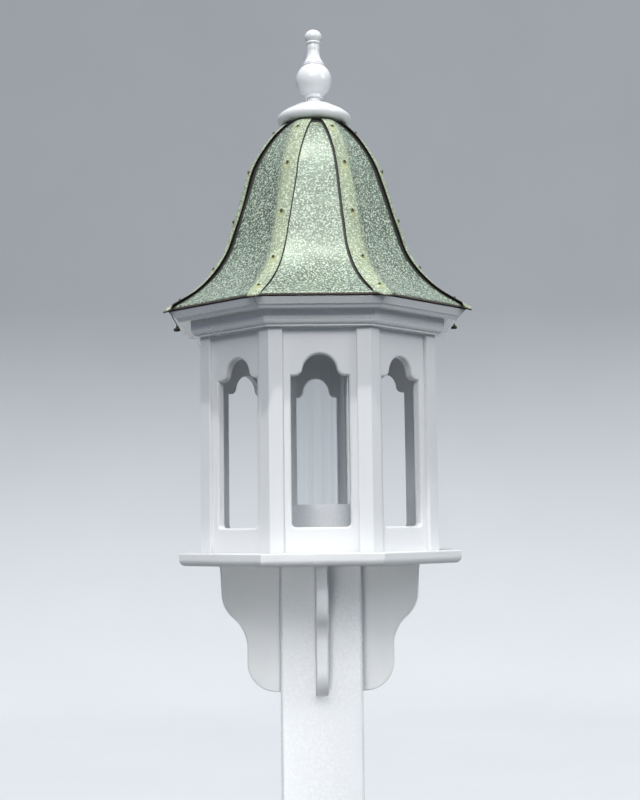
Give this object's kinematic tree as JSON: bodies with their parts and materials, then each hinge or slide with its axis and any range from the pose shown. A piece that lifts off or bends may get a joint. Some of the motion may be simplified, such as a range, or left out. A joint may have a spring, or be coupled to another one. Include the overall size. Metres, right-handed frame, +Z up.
{
  "type": "bird feeder on pole",
  "caption": "Octagonal gazebo bird feeder with arched openings and a bell-shaped patinated copper roof, on a square white post with scroll brackets; the finial cap lifts off to fill it.",
  "frame": {"origin": "on the ground at the middle of the post's foot", "axes": "+Z up along the post, -Y towards the front of the feeder, +X to the right seen from the front"},
  "size_m": [0.4824, 0.4821, 2.3603],
  "materials": {
    "white_vinyl": "smooth extruded white vinyl, satin gloss",
    "white_board": "smooth white cellular vinyl board, satin",
    "white_moulding": "extruded white vinyl moulding, satin gloss",
    "white_turned": "turned and painted white, glossy",
    "patina_copper": "copper sheet with a speckled blue-green patina, brown at the cut edges",
    "timber": "plain sawn softwood",
    "clear_tube": "clear extruded acrylic tube",
    "dark_plug": "matt black plastic",
    "roof_screw": "hex washer-head screw, weathered brown",
    "plain_screw": "white-capped screw head"
  },
  "bodies": {
    "feeder": {"post_core": "timber", "post_sleeve": "white_vinyl", "mount_block": "timber", "bracket_front": "white_board", "bracket_right": "white_board", "bracket_back": "white_board", "bracket_left": "white_board", "tray_floor": "white_board", "tray_edge_front": "white_board", "tray_edge_front_right": "white_board", "tray_edge_right": "white_board", "tray_edge_back_right": "white_board", "tray_edge_back": "white_board", "tray_edge_back_left": "white_board", "tray_edge_left": "white_board", "tray_edge_front_left": "white_board", "side_panel_front": "white_board", "side_panel_front_right": "white_board", "side_panel_right": "white_board", "side_panel_back_right": "white_board", "side_panel_back": "white_board", "side_panel_back_left": "white_board", "side_panel_left": "white_board", "side_panel_front_left": "white_board", "corner_batten_front_r": "white_board", "corner_batten_right_f": "white_board", "corner_batten_right_b": "white_board", "corner_batten_back_r": "white_board", "corner_batten_back_l": "white_board", "corner_batten_left_b": "white_board", "corner_batten_left_f": "white_board", "corner_batten_front_l": "white_board", "crown_front": "white_moulding", "crown_front_right": "white_moulding", "crown_right": "white_moulding", "crown_back_right": "white_moulding", "crown_back": "white_moulding", "crown_back_left": "white_moulding", "crown_left": "white_moulding", "crown_front_left": "white_moulding", "ceiling_board": "white_board", "roof_ribs": "timber", "roof_hub": "timber", "roof_panel_front": "patina_copper", "roof_panel_front_right": "patina_copper", "roof_panel_right": "patina_copper", "roof_panel_back_right": "patina_copper", "roof_panel_back": "patina_copper", "roof_panel_back_left": "patina_copper", "roof_panel_left": "patina_copper", "roof_panel_front_left": "patina_copper", "seed_tube": "clear_tube", "tube_collar": "white_vinyl", "seed_cone": "white_vinyl", "roof_screws": "roof_screw", "tray_screws": "plain_screw"},
    "cap": {"cap_disk": "white_turned", "cap_finial": "white_turned", "cap_plug": "dark_plug"}
  },
  "joints": [
    {"name": "cap_lift", "type": "slide", "parent": "feeder", "child": "cap", "axis": [0, 0, 1], "range_m": [0, 0.15]}
  ]
}
